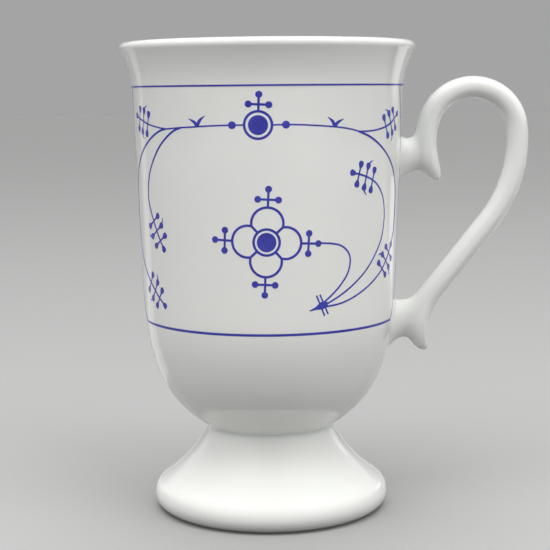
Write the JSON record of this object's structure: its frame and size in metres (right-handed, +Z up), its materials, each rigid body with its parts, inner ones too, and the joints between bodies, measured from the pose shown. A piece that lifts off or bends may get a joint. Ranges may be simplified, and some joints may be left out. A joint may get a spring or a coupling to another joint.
{
  "type": "footed coffee cup",
  "caption": "Footed porcelain coffee cup: a tall round-bottomed bowl with a flared lip on a hollow spreading foot, with a scrolled ear handle joined to the wall by short stubs.",
  "frame": {"origin": "The middle of the standing ring, on the table and on the cup's own axis.", "axes": "+Z is up along the cup's axis, +X points from the cup to its handle, and -Y is the front with the print."},
  "size_m": [0.1174, 0.0846, 0.135],
  "materials": {
    "porcelain_glaze": "polished",
    "porcelain_slip": "gloss",
    "cobalt_print": "polished",
    "bare_porcelain": "matte"
  },
  "bodies": {
    "root": {"bowl": "porcelain_glaze", "foot": "porcelain_glaze", "handle": "porcelain_glaze", "foot_slip_seam": "porcelain_slip", "upper_handle_slip_seam": "porcelain_slip", "lower_handle_slip_seam": "porcelain_slip"}
  },
  "joints": []
}
